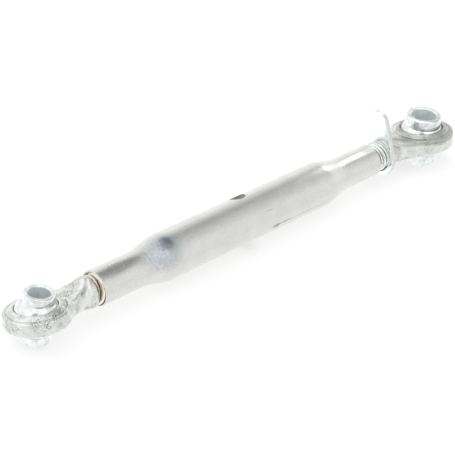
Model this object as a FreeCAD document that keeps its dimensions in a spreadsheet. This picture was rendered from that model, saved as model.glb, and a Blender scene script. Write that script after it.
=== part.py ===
import FreeCAD, Part
import math
import os
import re
import Sketcher
from FreeCAD import Vector

# Tractor top link with a small (category 1) and a large (category 2) ball end, in millimetres.
# The origin is the centre of the small ball. +X runs along the link to the large ball, and +Z is up,
# along the pin bore of the large ball. It lies as it is put down on a bench, almost fully closed.

# name: (value, what it is)
SIZES = {
    "link_length": (498.0, "from ball centre to ball centre, as it lies"),
    # threads: 1 1/8 inch, five to the inch, left-hand at the small end and right-hand at the large
    "thread_diameter": (28.6, "over the thread crests"),
    "thread_clearance": (0.08, "radial, between the spindle and what it is screwed into"),
    "relief_diameter": (24.0, "undercut where the thread meets the weld"),
    "relief_length": (2.2, "undercut where the thread meets the weld"),
    "spindle_chamfer": (2.0, "lead-in at the spindle's free end"),
    "spindle_gap": (37.0, "between the spindles' free ends, as it lies"),
    # centre tube
    "tube_diameter": (43.8, "of the middle, as drawn"),
    "tube_wall": (5.0, "of the middle"),
    "neck_diameter": (33.0, "of the swaged ends"),
    "neck_length": (49.7, "of each swaged end"),
    "taper_length": (24.0, "from neck to middle"),
    "swage_radius": (38.0, "blend at both ends of the taper"),
    "thread_run": (52.0, "length of thread cut in each end"),
    "bore_taper_length": (22.0, "from the threaded bore to the drawn bore"),
    "tube_edge": (0.8, "chamfer round the tube's ends"),
    "bore_edge": (1.2, "countersink of the threaded bores"),
    "tommy_hole_diameter": (16.0, "cross hole for a tommy bar"),
    "tommy_hole_lean": (-27.0, "degrees that the tube is turned at rest"),
    # small end
    "cat1_bore": (19.3, "pin bore, for a 19 mm category 1 pin"),
    "cat1_width": (45.0, "ball, over the collars"),
    "cat1_sphere": (40.6, "ball diameter"),
    "cat1_collar": (27.7, "collar diameter"),
    "cat1_collar_edge": (1.0, "chamfer of the collar's outer edge"),
    "cat1_bore_edge": (1.0, "chamfer of the bore"),
    "cat1_lean": (6.5, "degrees that the ball leans at rest"),
    "cat1_eye_diameter": (57.6, "forging round the ball"),
    "cat1_rim_thickness": (12.6, "of the forging's rim"),
    "cat1_rim_radius": (1.4, "rounding of the rim's edges"),
    "cat1_lip_thickness": (18.6, "over the two swaged lips"),
    "cat1_crest_land": (1.6, "width of the lip's crest round the mouth"),
    "cat1_rim_flat": (2.0, "flat of the rim outside the lip's foot"),
    "cat1_seat_height": (17.0, "of the spherical seat"),
    "cat1_mouth_flare": (21.0, "degrees that the mouth opens outwards"),
    "cat1_root_at": (17.0, "shank section in the eye"),
    "cat1_root_width": (43.5, "shank section in the eye"),
    "cat1_root_height": (13.4, "shank section in the eye"),
    "cat1_shoulder_at": (28.0, "shank section beside the eye"),
    "cat1_shoulder_width": (31.4, "shank section beside the eye"),
    "cat1_shoulder_height": (14.6, "shank section beside the eye"),
    "cat1_waist_at": (39.0, "narrowest shank section"),
    "cat1_waist_width": (25.0, "narrowest shank section"),
    "cat1_waist_height": (18.6, "narrowest shank section"),
    "cat1_collar_at": (48.3, "where the shank meets its weld collar"),
    "cat1_weld_collar": (29.6, "diameter of the weld collar"),
    "cat1_reach": (54.2, "from the ball centre to the weld"),
    "cat1_bare_thread": (6.1, "from the weld to the tube, as it lies"),
    "cat1_twist": (-11.5, "degrees that the eye is turned about the link at rest"),
    # large end
    "cat2_bore": (25.7, "pin bore, for a 25.4 mm category 2 pin"),
    "cat2_width": (51.0, "ball, over the collars"),
    "cat2_sphere": (47.0, "ball diameter"),
    "cat2_collar": (36.6, "collar diameter"),
    "cat2_collar_edge": (1.2, "chamfer of the collar's outer edge"),
    "cat2_bore_edge": (1.0, "chamfer of the bore"),
    "cat2_lean": (0.0, "degrees that the ball leans at rest"),
    "cat2_eye_diameter": (66.0, "forging round the ball"),
    "cat2_rim_thickness": (15.8, "of the forging's rim"),
    "cat2_rim_radius": (1.8, "rounding of the rim's edges"),
    "cat2_lip_thickness": (22.6, "over the two swaged lips"),
    "cat2_crest_land": (1.5, "width of the lip's crest round the mouth"),
    "cat2_rim_flat": (2.7, "flat of the rim outside the lip's foot"),
    "cat2_seat_height": (18.4, "of the spherical seat"),
    "cat2_mouth_flare": (18.0, "degrees that the mouth opens outwards"),
    "cat2_root_at": (19.0, "shank section in the eye"),
    "cat2_root_width": (51.5, "shank section in the eye"),
    "cat2_root_height": (16.6, "shank section in the eye"),
    "cat2_shoulder_at": (33.0, "shank section beside the eye"),
    "cat2_shoulder_width": (39.0, "shank section beside the eye"),
    "cat2_shoulder_height": (16.8, "shank section beside the eye"),
    "cat2_waist_at": (47.0, "narrowest shank section"),
    "cat2_waist_width": (25.6, "narrowest shank section"),
    "cat2_waist_height": (19.6, "narrowest shank section"),
    "cat2_collar_at": (55.5, "where the shank meets its weld collar"),
    "cat2_weld_collar": (29.6, "diameter of the weld collar"),
    "cat2_reach": (61.0, "from the ball centre to the weld"),
    "cat2_bare_thread": (21.3, "from the weld to the tube, as it lies"),
    "cat2_twist": (-8.0, "degrees that the eye is turned about the link at rest"),
    # both ends
    "ball_clearance": (0.3, "radial play of the balls in their seats"),
    "lip_swell": (14.0, "radius of the lip's outer slope"),
    "shank_corner": (3.6, "rounding of the shank's edges at the waist"),
    "shoulder_corner": (2.5, "rounding of the shank's edges beside the eye"),
    "collar_rise": (0.5, "that the weld collar stands proud of the shank's end"),
    "groove_depth": (0.6, "of the groove at the foot of the lip"),
    "groove_slope": (0.35, "share of the rim's flat that each side of that groove takes"),
    "weld_edge": (0.8, "chamfer of the weld collar's edge"),
    # lock nut plate with its handle
    "plate_thickness": (5.5, "of the plate"),
    "plate_gap": (3.4, "from the plate to the weld collar, as it lies"),
    "plate_radius": (20.3, "of the plate round the thread"),
    "handle_radius": (11.2, "of the handle's tip"),
    "handle_reach": (37.7, "from the thread's axis to the tip's centre"),
    "handle_lean": (-8.1, "degrees that the handle is turned at rest"),
    "plate_edge": (0.8, "chamfer round the plate's faces"),
    "plate_countersink": (1.1, "chamfer at both ends of the plate's hole"),
}

TUBE_LENGTH = "(link_length - cat1_reach - cat1_bare_thread - cat2_reach - cat2_bare_thread)"
TUBE_MIDDLE = "(cat1_reach + cat1_bare_thread + %s / 2)" % TUBE_LENGTH
X_AXIS = "1; 0; 0"
Y_AXIS = "0; 1; 0"
Z_AXIS = "0; 0; 1"
ON_VERTICAL = -2
ON_HORIZONTAL = -1
# the corner radius, as a share of the width, of an oblong that is all but a circle
NEARLY_ROUND = 0.48
# how far beyond the lip the cutter of the seat reaches
CUTTER_RISE = 1.0
# lengths this close are the same, and a feature that changes the volume by less than this does nothing
SAME_LENGTH = 0.01
LEAST_VOLUME = 1.0


def sized(formula):
    """Spell out the size names in a formula as cells of the sheet."""
    return re.sub(r"[a-z]\w*", lambda word: "Sizes." + word[0] if word[0] in SIZES else word[0], formula)


def write_sheet(doc):
    sheet = doc.addObject("Spreadsheet::Sheet", "Sizes")
    for row, (name, (value, meaning)) in enumerate(SIZES.items(), start=1):
        sheet.set("A%d" % row, name)
        sheet.set("B%d" % row, str(value))
        sheet.set("C%d" % row, meaning)
        sheet.setAlias("B%d" % row, name)
    doc.recompute()


def turned(axis, angle):
    """The formula of a rotation about an axis."""
    return "create(<<rotation>>; create(<<vector>>; %s); %s)" % (axis, angle)


def placed(along, rotation):
    """The formula of a place on the link's axis."""
    return "create(<<placement>>; create(<<vector>>; %s; 0; 0); %s)" % (along, rotation)


def new_body(doc, name, placement):
    """A body whose Label names its file."""
    body = doc.addObject("PartDesign::Body", name)
    body.Label = name
    body.setExpression("Placement", sized(placement))
    return body


def new_sketch(body, name, plane, height=None):
    """A sketch on one of the body's own origin planes, or at a height above it."""
    sketch = body.newObject("Sketcher::SketchObject", name)
    support = [feature for feature in body.Origin.OriginFeatures if feature.Role == plane][0]
    sketch.AttachmentSupport = [(support, "")]
    sketch.MapMode = "FlatFace"
    if height:
        sketch.setExpression("AttachmentOffset.Base.z", sized(height))
    return sketch


def hold(sketch, edge, end, direction, axis, formula):
    """Hold a point on an axis, or at its distance from the origin along one direction."""
    if formula == "0":
        sketch.addConstraint(Sketcher.Constraint("PointOnObject", edge, end, axis))
        return
    distance = sketch.evalExpression(sized(formula))
    index = sketch.addConstraint(Sketcher.Constraint(direction, -1, 1, edge, end, distance))
    sketch.setExpression("Constraints[%d]" % index, sized(formula))


def hold_point(sketch, edge, end, across, up):
    hold(sketch, edge, end, "DistanceX", ON_VERTICAL, across)
    hold(sketch, edge, end, "DistanceY", ON_HORIZONTAL, up)


def hold_radius(sketch, edge, formula):
    radius = sketch.evalExpression(sized(formula))
    index = sketch.addConstraint(Sketcher.Constraint("Radius", edge, radius))
    sketch.setExpression("Constraints[%d]" % index, sized(formula))


def point(sketch, across, up):
    return Vector(sketch.evalExpression(sized(across)), sketch.evalExpression(sized(up)), 0)


def add_arc(sketch, start, end, formula, side):
    """An arc of under half a turn; side 1 turns left on the way from start to end, and -1 right."""
    radius = sketch.evalExpression(sized(formula))
    chord = end - start
    left = Vector(-chord.y, chord.x, 0).normalize()
    rise = math.sqrt(max(radius ** 2 - chord.Length ** 2 / 4, 0))
    centre = (start + end) / 2 + left * rise * side
    angles = [math.atan2(spot.y - centre.y, spot.x - centre.x) for spot in (start, end)]
    circle = Part.Circle(centre, Vector(0, 0, 1), radius)
    edge = sketch.addGeometry(Part.ArcOfCircle(circle, *angles[::side]))
    hold_radius(sketch, edge, formula)
    return edge


def draw_outline(sketch, corners):
    """Close an outline through corners (across, up), given as formulas.

    A corner with (radius, side) after its place starts an arc to the next corner.
    """
    spots = [point(sketch, *corner[:2]) for corner in corners]
    edges = []
    for here, corner in enumerate(corners):
        start = spots[here]
        end = spots[(here + 1) % len(spots)]
        if len(corner) == 2:
            edges.append((sketch.addGeometry(Part.LineSegment(start, end)), 1, 2))
        elif corner[3] > 0:
            edges.append((add_arc(sketch, start, end, *corner[2:]), 1, 2))
        else:
            edges.append((add_arc(sketch, start, end, *corner[2:]), 2, 1))
    for here, corner in enumerate(corners):
        edge, first, last = edges[here]
        before = edges[here - 1]
        sketch.addConstraint(Sketcher.Constraint("Coincident", before[0], before[2], edge, first))
        hold_point(sketch, edge, first, *corner[:2])


def draw_circle(sketch, radius):
    """A circle round the sketch's origin."""
    size = sketch.evalExpression(sized(radius))
    edge = sketch.addGeometry(Part.Circle(Vector(), Vector(0, 0, 1), size))
    sketch.addConstraint(Sketcher.Constraint("Coincident", edge, 3, -1, 1))
    hold_radius(sketch, edge, radius)


def mirrored_down(corners):
    """The corners above the horizontal axis, then the same below it on the way back."""
    below = []
    for here in reversed(range(len(corners))):
        across, up = corners[here][:2]
        arc = corners[here - 1][2:] if here else ()
        below.append((across, "-(%s)" % up) + tuple(arc))
    return list(corners) + below


def volume(body):
    return 0 if body.Shape.isNull() else body.Shape.Volume


def turn(body, kind, name, sketch, axis):
    """A revolved solid, or a groove, right round one of the sketch's own axes."""
    before = volume(body)
    feature = body.newObject("PartDesign::" + kind, name)
    feature.Profile = sketch
    feature.ReferenceAxis = (sketch, [axis])
    feature.Angle = 360
    body.Document.recompute()
    if abs(volume(body) - before) < LEAST_VOLUME:
        raise RuntimeError("%s changes nothing" % name)


def drill(body, name, sketch):
    """A pocket right through, on both sides of its sketch."""
    before = volume(body)
    feature = body.newObject("PartDesign::Pocket", name)
    feature.Profile = sketch
    feature.SideType = "Two sides"
    feature.Type = "ThroughAll"
    feature.Type2 = "ThroughAll"
    body.Document.recompute()
    if volume(body) > before - LEAST_VOLUME:
        raise RuntimeError("%s cuts nothing" % name)


def dress_edges(body, kind, name, wanted, measure, formula):
    """A fillet or a chamfer on those edges of the body's last feature that are wanted."""
    last = body.Tip
    edges = ["Edge%d" % (here + 1) for here, edge in enumerate(last.Shape.Edges) if wanted(edge)]
    feature = body.newObject("PartDesign::" + kind, name)
    feature.Base = (last, edges)
    feature.setExpression(measure, sized(formula))
    body.Document.recompute()


def make_tube(doc):
    """Swaged at both ends, threaded in both necks, and cross-drilled in the middle.

    It is drawn about its own middle, so each half is the other one's mirror image.
    """
    end = TUBE_LENGTH + " / 2"
    neck = "neck_diameter / 2"
    middle = "tube_diameter / 2"
    bore = "(thread_diameter / 2 + thread_clearance)"
    outside = [
        (end + " - neck_length - taper_length", middle),
        (end + " - neck_length", neck),
        (end + " - tube_edge", neck),
        (end, neck + " - tube_edge"),
    ]
    inside = [
        (end, bore + " + bore_edge"),
        (end + " - bore_edge", bore),
        (end + " - thread_run", bore),
        (end + " - thread_run - bore_taper_length", middle + " - tube_wall"),
    ]
    right = outside + inside
    left = [("-(%s)" % along, radius) for along, radius in reversed(right)]

    body = new_body(doc, "centre_tube", placed(TUBE_MIDDLE, turned(X_AXIS, "tommy_hole_lean")))
    wall = new_sketch(body, "tube_wall_section", "XZ_Plane")
    draw_outline(wall, right + left)
    turn(body, "Revolution", "drawn_tube", wall, "H_Axis")

    shoulders = [(body.evalExpression(sized(along)), body.evalExpression(sized(radius)))
                 for along, radius in outside[:2]]

    def is_shoulder(edge):
        round_one = isinstance(edge.Curve, Part.Circle)
        return round_one and any(abs(edge.Curve.Radius - radius) < SAME_LENGTH
                                 and abs(abs(edge.Curve.Center.x) - along) < SAME_LENGTH
                                 for along, radius in shoulders)

    dress_edges(body, "Fillet", "swaged_shoulders", is_shoulder, "Radius", "swage_radius")
    hole = new_sketch(body, "tommy_hole_section", "XY_Plane")
    draw_circle(hole, "tommy_hole_diameter / 2")
    drill(body, "tommy_hole", hole)


def make_ball(doc, end, place):
    """A sphere with a cylindrical collar on each side, turned about its pin bore."""
    half = end + "_width / 2"
    bore = end + "_bore / 2"
    collar = "%s_collar / 2" % end
    sphere = "%s_sphere / 2" % end
    inner_edge = "%s_bore_edge" % end
    outer_edge = "%s_collar_edge" % end
    upper = [
        (bore, "%s - %s" % (half, inner_edge)),
        ("%s + %s" % (bore, inner_edge), half),
        ("%s - %s" % (collar, outer_edge), half),
        (collar, "%s - %s" % (half, outer_edge)),
        (collar, "sqrt((%s)^2 - (%s)^2)" % (sphere, collar), sphere, -1),
    ]
    body = new_body(doc, end + "_ball", placed(place, turned(Y_AXIS, end + "_lean")))
    section = new_sketch(body, end + "_ball_section", "XZ_Plane")
    draw_outline(section, mirrored_down(upper))
    turn(body, "Revolution", end + "_turned_ball", section, "V_Axis")


def make_eye(doc, end, placement):
    """A drop forging: the eye, drawn about its own centre, and the shank that runs off along +X.

    The shank narrows from the eye to its waist and swells to the round collar that is welded to the
    spindle. The seat is a sphere with a swaged lip on each side, which keeps the ball in.
    """
    rim = end + "_rim_thickness / 2"
    lip = end + "_lip_thickness / 2"
    eye = end + "_eye_diameter / 2"
    flat = end + "_rim_flat"
    foot = "%s - %s_rim_radius - %s" % (eye, end, flat)
    ball_seat = "(%s_sphere / 2 + ball_clearance)" % end
    edge_up = end + "_seat_height / 2"
    edge_out = "sqrt(%s^2 - (%s)^2)" % (ball_seat, edge_up)
    flare = "tan(%s_mouth_flare)" % end
    mouth = "%s + (%s - %s) * %s" % (edge_out, lip, edge_up, flare)
    body = new_body(doc, end + "_eye", placement)

    ring = new_sketch(body, end + "_ring_section", "XZ_Plane")
    draw_outline(ring, mirrored_down([
        ("0", lip),
        ("%s + %s_crest_land" % (mouth, end), lip, "lip_swell", -1),
        (foot, rim),
        ("%s + groove_slope * %s" % (foot, flat), rim + " - groove_depth"),
        ("%s + 2 * groove_slope * %s" % (foot, flat), rim),
        ("%s - %s_rim_radius" % (eye, end), rim, end + "_rim_radius", -1),
        (eye, "%s - %s_rim_radius" % (rim, end)),
    ]))
    turn(body, "Revolution", end + "_ring", ring, "V_Axis")

    round_end = end + "_weld_collar - 2 * collar_rise"
    stations = [
        ("root", end + "_root_at", end + "_root_width", end + "_root_height", end + "_rim_radius"),
        ("shoulder", end + "_shoulder_at", end + "_shoulder_width", end + "_shoulder_height",
         "shoulder_corner"),
        ("waist", end + "_waist_at", end + "_waist_width", end + "_waist_height", "shank_corner"),
        ("end", end + "_collar_at", round_end, round_end, "%s * (%s)" % (NEARLY_ROUND, round_end)),
    ]
    sections = []
    for name, along, width, height, corner in stations:
        section = new_sketch(body, "%s_shank_%s" % (end, name), "YZ_Plane", along)
        draw_outline(section, rounded_oblong(width, height, corner))
        sections.append(section)
    shank = body.newObject("PartDesign::AdditiveLoft", end + "_shank")
    shank.Profile = sections[0]
    shank.Sections = sections[1:]
    doc.recompute()

    collar = new_sketch(body, end + "_collar_section", "XZ_Plane")
    radius = end + "_weld_collar / 2"
    back = end + "_collar_at - 2 * collar_rise"
    draw_outline(collar, [
        (back, "0"),
        (back, radius + " - 3 * collar_rise"),
        (back + " + 2 * collar_rise", radius),
        (end + "_reach - weld_edge", radius),
        (end + "_reach", radius + " - weld_edge"),
        (end + "_reach", "0"),
    ])
    turn(body, "Revolution", end + "_collar", collar, "H_Axis")

    above = "(%s + %s)" % (lip, CUTTER_RISE)
    seat = new_sketch(body, end + "_seat_section", "XZ_Plane")
    draw_outline(seat, mirrored_down([
        ("0", above),
        ("%s + (%s - %s) * %s" % (edge_out, above, edge_up, flare), above),
        (edge_out, edge_up, ball_seat, -1),
    ]))
    turn(body, "Groove", end + "_seat", seat, "V_Axis")


def rounded_oblong(width, height, corner):
    """The outline of an oblong with rounded corners, anticlockwise."""
    side = "(%s) / 2" % width
    top = "(%s) / 2" % height
    side_in = "%s - (%s)" % (side, corner)
    top_in = "%s - (%s)" % (top, corner)
    return [
        (side_in, "-(%s)" % top, corner, 1),
        (side, "-(%s)" % top_in),
        (side, top_in, corner, 1),
        (side_in, top),
        ("-(%s)" % side_in, top, corner, 1),
        ("-(%s)" % side, top_in),
        ("-(%s)" % side, "-(%s)" % top_in, corner, 1),
        ("-(%s)" % side_in, "-(%s)" % top),
    ]


def make_spindle(doc, end, placement):
    """The threaded bar, drawn from the weld along +X, as wide as the crests of its thread."""
    radius = "thread_diameter / 2"
    relief = "relief_diameter / 2"
    length = "(%s_bare_thread + %s / 2 - spindle_gap / 2)" % (end, TUBE_LENGTH)
    body = new_body(doc, end + "_spindle", placement)
    section = new_sketch(body, end + "_spindle_section", "XZ_Plane")
    draw_outline(section, [
        ("0", "0"),
        ("0", relief),
        ("relief_length", relief),
        ("relief_length + %s - %s" % (radius, relief), radius),
        (length + " - spindle_chamfer", radius),
        (length, radius + " - spindle_chamfer"),
        (length, "0"),
    ])
    turn(body, "Revolution", end + "_bar", section, "H_Axis")


def make_lock_handle(doc):
    """The lock nut plate: a round base on the thread, drawn in by two tangents to a rounded tip."""
    base = "plate_radius"
    tip = "handle_radius"
    draw_in = "((%s - %s) / handle_reach)" % (base, tip)
    across = "sqrt(1 - %s^2)" % draw_in
    outline = [
        ("0", "-" + base, base, 1),
        ("%s * %s" % (base, across), "%s * %s" % (base, draw_in)),
        ("%s * %s" % (tip, across), "handle_reach + %s * %s" % (tip, draw_in), tip, 1),
        ("0", "handle_reach + " + tip, tip, 1),
        ("-%s * %s" % (tip, across), "handle_reach + %s * %s" % (tip, draw_in)),
        ("-%s * %s" % (base, across), "%s * %s" % (base, draw_in), base, 1),
    ]
    along = "link_length - cat2_reach - plate_gap - plate_thickness"
    body = new_body(doc, "lock_handle", placed(along, turned(X_AXIS, "handle_lean")))
    section = new_sketch(body, "plate_outline", "YZ_Plane")
    draw_outline(section, outline)
    plate = body.newObject("PartDesign::Pad", "plate")
    plate.Profile = section
    plate.setExpression("Length", sized("plate_thickness"))
    doc.recompute()

    def is_rim(edge):
        return edge.BoundBox.XLength < SAME_LENGTH

    dress_edges(body, "Chamfer", "plate_edges", is_rim, "Size", "plate_edge")
    hole = new_sketch(body, "plate_hole_section", "YZ_Plane")
    draw_circle(hole, "thread_diameter / 2 + thread_clearance")
    drill(body, "plate_hole", hole)
    threaded = body.evalExpression(sized("thread_diameter / 2 + thread_clearance"))

    def is_mouth(edge):
        return isinstance(edge.Curve, Part.Circle) and abs(edge.Curve.Radius - threaded) < SAME_LENGTH

    dress_edges(body, "Chamfer", "plate_countersinks", is_mouth, "Size", "plate_countersink")


def check(doc):
    for thing in doc.Objects:
        if "Invalid" in thing.State or "Error" in thing.State:
            raise RuntimeError("%s failed: %s" % (thing.Label, thing.State))
    for body in pieces(doc):
        if body.Shape.isNull() or not body.Shape.isValid() or len(body.Shape.Solids) != 1:
            raise RuntimeError("%s has no sound solid" % body.Label)


def pieces(doc):
    return [thing for thing in doc.Objects if thing.TypeId == "PartDesign::Body"]


def main():
    doc = FreeCAD.newDocument("top_link")
    write_sheet(doc)
    make_tube(doc)
    about_turn = " * " + turned(Z_AXIS, "180")
    weld = "link_length - cat2_reach"
    make_eye(doc, "cat1", placed("0", turned(X_AXIS, "cat1_twist")))
    make_eye(doc, "cat2", placed("link_length", turned(X_AXIS, "cat2_twist") + about_turn))
    make_ball(doc, "cat1", "0")
    make_ball(doc, "cat2", "link_length")
    make_spindle(doc, "cat1", placed("cat1_reach", turned(X_AXIS, "cat1_twist")))
    make_spindle(doc, "cat2", placed(weld, turned(X_AXIS, "cat2_twist") + about_turn))
    make_lock_handle(doc)
    doc.recompute()
    check(doc)
    os.makedirs("parts", exist_ok=True)
    for body in pieces(doc):
        body.Shape.exportStep("parts/%s.step" % body.Label)
        print("%-14s %9.0f mm3" % (body.Label, body.Shape.Volume))


main()
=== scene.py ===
import math

import bmesh
import bpy
from mathutils import Matrix, Vector, noise


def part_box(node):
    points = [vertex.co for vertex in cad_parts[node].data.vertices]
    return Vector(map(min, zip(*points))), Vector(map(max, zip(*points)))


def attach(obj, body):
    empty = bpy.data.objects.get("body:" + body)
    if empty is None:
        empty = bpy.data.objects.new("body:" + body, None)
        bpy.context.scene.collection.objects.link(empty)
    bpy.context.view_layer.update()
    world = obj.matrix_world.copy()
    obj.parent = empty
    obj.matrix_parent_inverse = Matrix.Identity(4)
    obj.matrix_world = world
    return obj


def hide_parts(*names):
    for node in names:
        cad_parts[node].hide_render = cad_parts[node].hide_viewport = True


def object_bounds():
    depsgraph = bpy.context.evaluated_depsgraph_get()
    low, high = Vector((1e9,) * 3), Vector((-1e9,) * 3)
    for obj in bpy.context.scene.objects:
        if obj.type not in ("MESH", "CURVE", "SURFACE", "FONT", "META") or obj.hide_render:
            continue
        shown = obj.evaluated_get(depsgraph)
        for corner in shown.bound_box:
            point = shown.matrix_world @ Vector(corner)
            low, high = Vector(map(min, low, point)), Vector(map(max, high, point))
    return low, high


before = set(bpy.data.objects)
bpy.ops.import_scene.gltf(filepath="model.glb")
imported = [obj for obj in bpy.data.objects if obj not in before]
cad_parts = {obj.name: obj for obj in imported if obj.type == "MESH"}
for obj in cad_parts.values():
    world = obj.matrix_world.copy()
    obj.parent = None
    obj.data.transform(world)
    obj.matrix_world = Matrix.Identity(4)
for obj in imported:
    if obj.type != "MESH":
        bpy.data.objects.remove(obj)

# The top link: a drawn and swaged steel tube between two forged rod ends with captive balls, screwed in
# by a left-hand and a right-hand thread, and a lock plate on the right-hand one. All of it is zinc-plated.
# Lengths in this script are millimetres until a finished piece is scaled to metres.

CAD_BOX = [list(corner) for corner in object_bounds()]
MM = 0.001
X_AXIS = Vector((1, 0, 0))
Z_AXIS = Vector((0, 0, 1))

# ---------------------------------------------------------------------------------------------
# Places, from the frame


def node_box(name):
    """A CAD node's lowest and highest corner, in millimetres."""
    low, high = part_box(name)
    return Vector(low) / MM, Vector(high) / MM


def middle_of(name):
    low, high = node_box(name)
    return (low + high) / 2


# ---------------------------------------------------------------------------------------------
# Sizes

BALL_CLEARANCE = 0.3
FORGING_VOXEL = 0.62
SMOOTHING_PASSES = 3
LOW_WAVE = 0.22
FINE_GRAIN = 0.13
LIP_GROOVE = 0.75
LIP_SWELL = 14.0
SHANK_CORNER = 3.6
COLLAR_RISE = 0.5
WELD_EDGE = 0.8

SMALL_END = {
    "bore": 9.65, "half_width": 22.5, "sphere": 20.3, "collar": 13.85, "collar_edge": 1.3,
    "bore_edge": 0.9, "lean": 6.5, "eye": 28.8, "rim": 6.3, "rim_radius": 2.0, "lip": 9.3,
    "crest_land": 1.6, "rim_flat": 1.9, "seat_edge": 8.5, "mouth_flare": 21.0,
    "stations": [(17.0, 43.5, 13.4, 1.4), (28.0, 31.4, 14.6, 2.5), (39.0, 25.0, 18.6, 3.6),
                 (48.3, 28.6, 28.6, 13.7)],
    "weld_collar": 14.8, "reach": 54.2, "twist": -11.5,
}
LARGE_END = {
    "bore": 12.85, "half_width": 25.5, "sphere": 23.5, "collar": 18.3, "collar_edge": 1.5,
    "bore_edge": 1.0, "lean": 0.0, "eye": 33.0, "rim": 7.9, "rim_radius": 2.2, "lip": 11.3,
    "crest_land": 1.5, "rim_flat": 2.6, "seat_edge": 9.2, "mouth_flare": 18.0,
    "stations": [(19.0, 51.5, 16.6, 1.8), (33.0, 39.0, 16.8, 2.5), (47.0, 25.6, 19.6, 3.6),
                 (55.5, 28.6, 28.6, 13.7)],
    "weld_collar": 14.8, "reach": 61.0, "twist": -8.0,
}

# The shoulder groove of the small eye's shank: each place along it, with its offset, depth or width.
GROOVE_LINE = [(19, 21.0), (28, 18.6), (33, 16.0), (37, 14.0), (42, 11.4), (46.5, 8.8), (52, 4.8)]
GROOVE_DEPTH = [(18, 0.0), (22, 0.4), (33, 0.6), (37, 1.0), (42.5, 1.9), (47, 1.7), (50.5, 0.9), (53, 0.0)]
GROOVE_WIDTH = [(19, 0.8), (33, 0.9), (37, 1.3), (42, 2.1), (48, 1.8), (53, 1.2)]

LEFT_HAND = -1
RIGHT_HAND = 1
THREAD_PITCH = 5.08
THREAD_CREST = 14.3
THREAD_ROOT = 11.6
RELIEF = 12.0
RELIEF_LENGTH = 2.2
TIP_CHAMFER = 2.0

PLATE_BASE = 20.3
HANDLE_TIP = 11.2
HANDLE_REACH = 37.7
HANDLE_LEAN = -8.1
PLATE_EDGE = 0.9
COUNTERSINK = 1.1

# ---------------------------------------------------------------------------------------------
# Mesh helpers


def turn_section(section, axis, steps, closed):
    """Spin a section right round an axis through the origin; its points are (across, along)."""
    shape = bmesh.new()
    if axis is Z_AXIS:
        points = [shape.verts.new((across, 0, along)) for across, along in section]
    else:
        points = [shape.verts.new((along, 0, across)) for across, along in section]
    edges = [shape.edges.new(pair) for pair in zip(points, points[1:])]
    if closed:
        edges.append(shape.edges.new((points[-1], points[0])))
    bmesh.ops.spin(shape, geom=points + edges, cent=(0, 0, 0), axis=axis, dvec=(0, 0, 0),
                   angle=math.tau, steps=steps, use_merge=True, use_normal_flip=False,
                   use_duplicate=False)
    bmesh.ops.remove_doubles(shape, verts=shape.verts, dist=0.001)
    bmesh.ops.recalc_face_normals(shape, faces=shape.faces)
    return shape


def arc_points(centre, radius, first, last, count):
    """Points (across, along) on an arc; its angles are degrees from the across direction."""
    across, along = centre
    points = []
    for step in range(count + 1):
        angle = math.radians(first + (last - first) * step / count)
        points.append((across + radius * math.cos(angle), along + radius * math.sin(angle)))
    return points


def mirrored_down(section):
    return section + [(across, -along) for across, along in reversed(section)]


def finish_piece(shape, name, place, body, replaced, crease=35.0):
    """Scale to metres, put the place in the mesh, set sharp edges, and hang the piece on its body."""
    bmesh.ops.transform(shape, matrix=Matrix.Scale(MM, 4) @ place, verts=shape.verts)
    sharp = math.radians(crease)
    for face in shape.faces:
        face.smooth = True
    for edge in shape.edges:
        edge.smooth = edge.is_manifold and edge.calc_face_angle(0) < sharp
    mesh = bpy.data.meshes.new(name)
    shape.to_mesh(mesh)
    shape.free()
    piece = bpy.data.objects.new(name, mesh)
    bpy.context.scene.collection.objects.link(piece)
    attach(piece, body)
    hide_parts(replaced)
    return piece


def temporary(shape, name):
    """A linked object that holds a mesh while a modifier works on it."""
    mesh = bpy.data.meshes.new(name)
    shape.to_mesh(mesh)
    shape.free()
    thing = bpy.data.objects.new(name, mesh)
    bpy.context.scene.collection.objects.link(thing)
    return thing


def applied(thing):
    """The object's mesh with its modifiers, as a bmesh; the object goes."""
    bpy.context.view_layer.update()
    seen = thing.evaluated_get(bpy.context.evaluated_depsgraph_get())
    shape = bmesh.new()
    shape.from_mesh(seen.to_mesh())
    seen.to_mesh_clear()
    discard(thing)
    return shape


def discard(thing):
    mesh = thing.data
    bpy.data.objects.remove(thing)
    bpy.data.meshes.remove(mesh)


def cut_away(shape, cutter):
    """Subtract one closed bmesh from another."""
    thing = temporary(shape, "to_be_cut")
    tool = temporary(cutter, "cutter")
    boolean = thing.modifiers.new("cut", "BOOLEAN")
    boolean.operation = "DIFFERENCE"
    boolean.solver = "MANIFOLD"
    boolean.object = tool
    shape = applied(thing)
    discard(tool)
    return shape


# ---------------------------------------------------------------------------------------------
# Rod ends


def eye_place(end, centre, facing):
    """The shank runs off along +X for the small end and along -X for the large one."""
    return (Matrix.Translation(centre) @ Matrix.Rotation(math.radians(end["twist"]), 4, "X")
            @ Matrix.Rotation(facing, 4, "Z"))


def ball_section(end):
    """From the bore's upper edge outwards and down: chamfer, face, rounded edge, collar, sphere."""
    collar = end["collar"]
    top = end["half_width"]
    edge = end["collar_edge"]
    root = math.degrees(math.acos(collar / end["sphere"]))
    return ([(end["bore"], top - end["bore_edge"]), (end["bore"] + end["bore_edge"], top)]
            + arc_points((collar - edge, top - edge), edge, 90, 0, 5)
            + arc_points((0, 0), end["sphere"], root, 0, 18)[:-1])


def make_ball(end, name, centre):
    section = mirrored_down(ball_section(end))
    shape = turn_section(section, Z_AXIS, 128, True)
    place = Matrix.Translation(centre) @ Matrix.Rotation(math.radians(end["lean"]), 4, "Y")
    return finish_piece(shape, name + "_turned", place, name, name)


def mouth_radius(end):
    seat = end["sphere"] + BALL_CLEARANCE
    flare = math.tan(math.radians(end["mouth_flare"]))
    return math.sqrt(seat ** 2 - end["seat_edge"] ** 2) + (end["lip"] - end["seat_edge"]) * flare


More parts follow.
